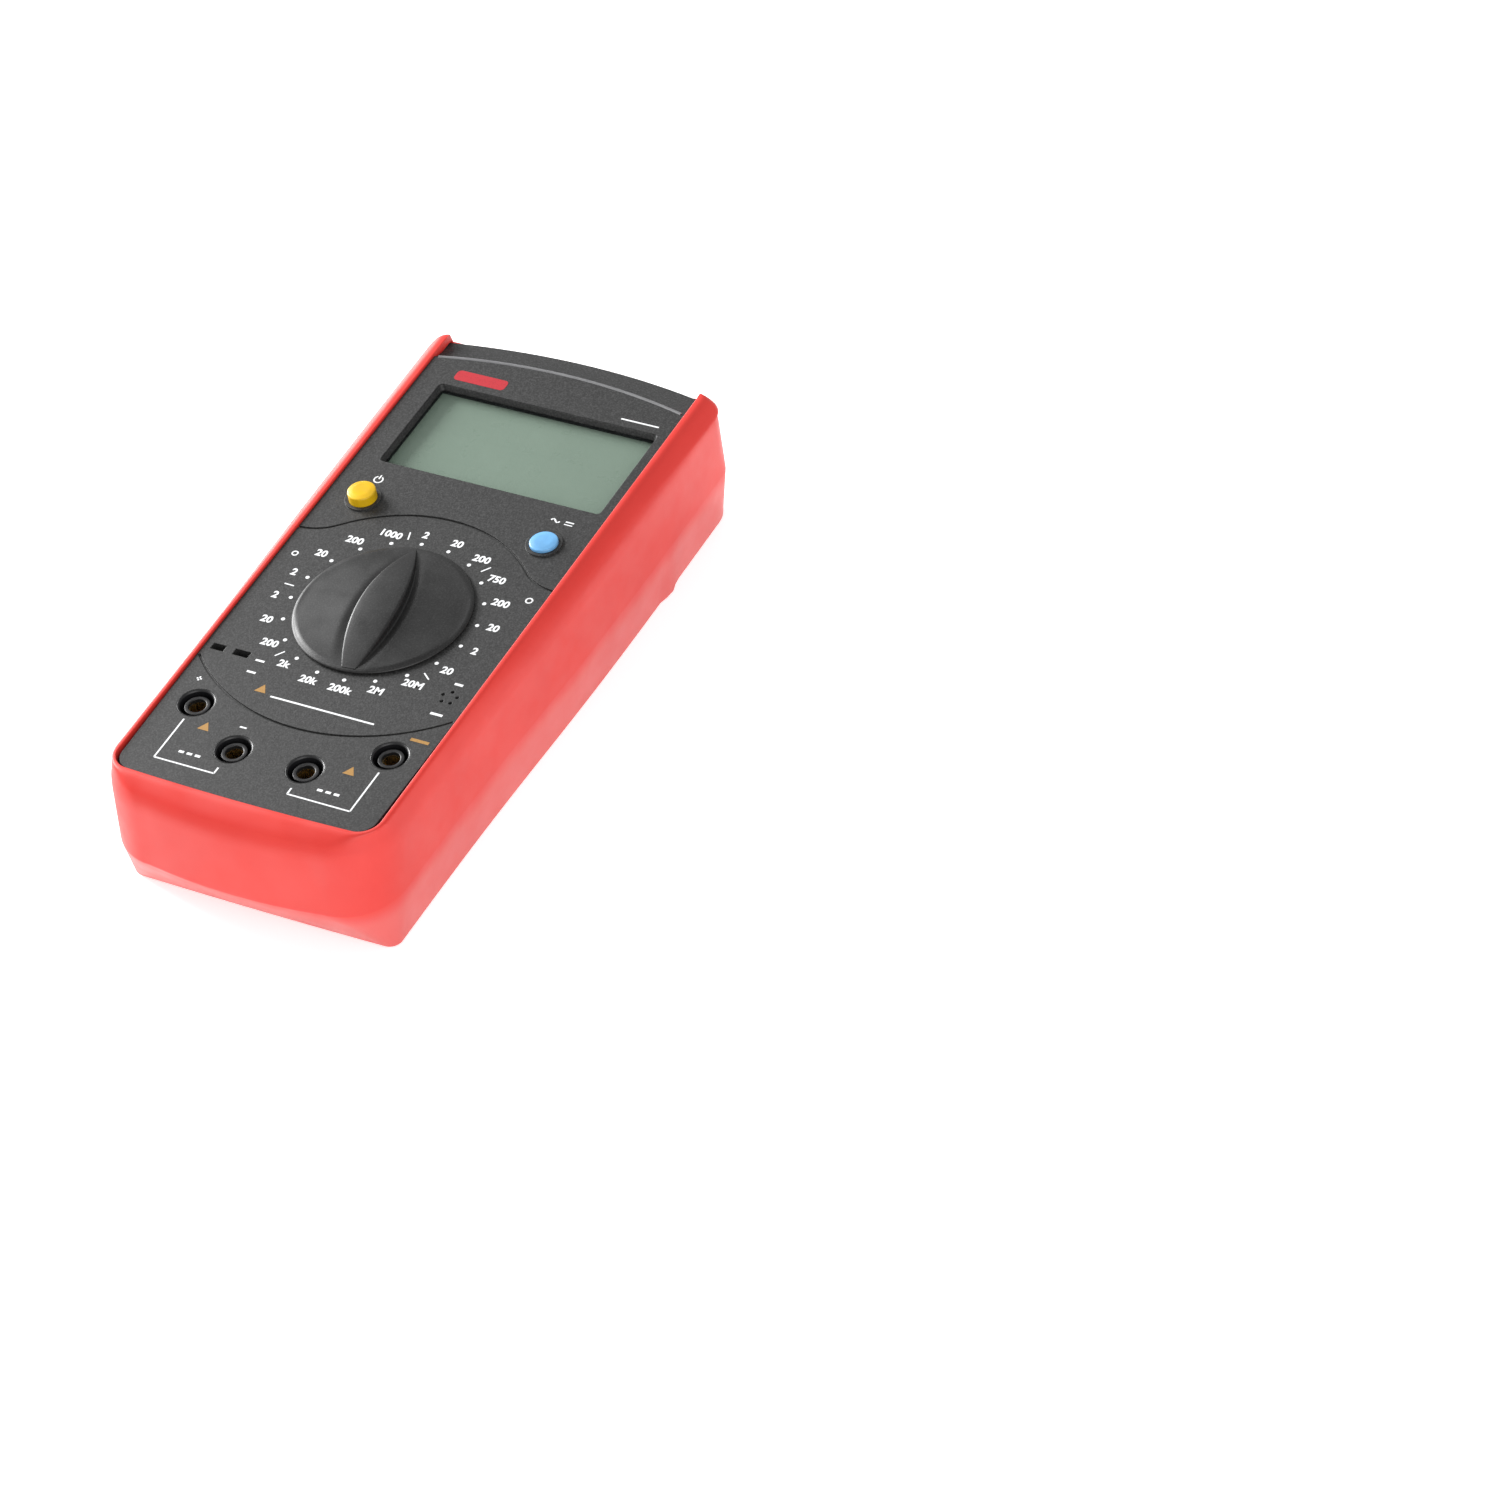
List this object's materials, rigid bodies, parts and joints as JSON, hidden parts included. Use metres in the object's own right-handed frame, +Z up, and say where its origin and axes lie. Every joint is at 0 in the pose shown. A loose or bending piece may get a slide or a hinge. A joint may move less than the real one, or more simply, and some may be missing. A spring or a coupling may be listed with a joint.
{
  "type": "digital multimeter",
  "caption": "Hand-held digital meter in a red rubber holster, with a large display, a rotary range knob, push buttons, shrouded test sockets and a fold-out stand.",
  "frame": {"origin": "on the resting surface, under the middle of the outline", "axes": "+X to the meter's right, +Y towards the display end, +Z up out of the control panel"},
  "size_m": [0.0818, 0.175, 0.0388],
  "materials": {
    "holster_rubber": "satin",
    "front_plastic": "fine texture",
    "rear_plastic": "fine texture",
    "clear_window": "clear",
    "lcd": "satin",
    "lcd_rubber": "satin",
    "knob_plastic": "satin",
    "socket_plastic": "satin",
    "yellow_plastic": "satin",
    "blue_plastic": "satin",
    "brass": "bright",
    "gold_track": "bright",
    "steel": "plated",
    "board": "satin",
    "nylon": "satin",
    "chip": "matte",
    "film": "satin",
    "trimmer_blue": "matte",
    "fuse_glass": "clear",
    "battery_jacket": "coated",
    "foam": "matte",
    "lead_pvc": "satin",
    "print_white": "printed ink",
    "print_gold": "printed ink"
  },
  "bodies": {
    "meter": {"holster": "holster_rubber", "stand_pin": "steel", "front_case": "front_plastic", "rear_case": "rear_plastic", "battery_door": "rear_plastic", "door_screw": "steel", "case_screws": "steel", "window_lens": "clear_window", "lcd_glass": "lcd", "lcd_frame": "rear_plastic", "zebra_strips": "lcd_rubber", "main_board": "board", "switch_tracks": "gold_track", "converter_chip": "chip", "film_capacitors": "film", "trimmers": "trimmer_blue", "crystal": "steel", "board_screws": "steel", "input_board": "board", "board_pillars": "brass", "component_socket": "socket_plastic", "component_contacts": "brass", "detent_ring": "nylon", "power_switch": "chip", "function_switch": "chip", "buzzer": "chip", "fuse_tube": "fuse_glass", "fuse_caps": "steel", "fuse_clips": "brass", "battery": "battery_jacket", "battery_snap": "rear_plastic", "battery_leads": "lead_pvc", "battery_pad": "foam", "socket_housing_1": "socket_plastic", "socket_tube_1": "brass", "socket_housing_2": "socket_plastic", "socket_tube_2": "brass", "socket_housing_3": "socket_plastic", "socket_tube_3": "brass", "socket_housing_4": "socket_plastic", "socket_tube_4": "brass"},
    "selector": {"knob": "knob_plastic", "rotor": "nylon", "rotor_wipers": "brass", "detent_balls": "steel", "detent_springs": "steel", "retaining_clip": "steel"},
    "power_key": {"power_button": "yellow_plastic", "power_plunger": "nylon"},
    "function_key": {"function_button": "blue_plastic", "function_plunger": "nylon"},
    "stand": {"tilt_stand": "holster_rubber"}
  },
  "joints": [
    {"name": "selector_turn", "type": "hinge", "parent": "meter", "child": "selector", "pos_m": [0, -0.0104, 0.036], "axis": [0, 0, 1], "continuous": true},
    {"name": "power_press", "type": "slide", "parent": "meter", "child": "power_key", "axis": [0, 0, -1], "range_m": [0, 0.002], "stiffness_N_per_m": 400},
    {"name": "function_press", "type": "slide", "parent": "meter", "child": "function_key", "axis": [0, 0, -1], "range_m": [0, 0.0012], "stiffness_N_per_m": 600},
    {"name": "stand_open", "type": "hinge", "parent": "meter", "child": "stand", "pos_m": [0, 0.047, 0.00195], "axis": [1, 0, 0], "range_deg": [0, 65]}
  ]
}
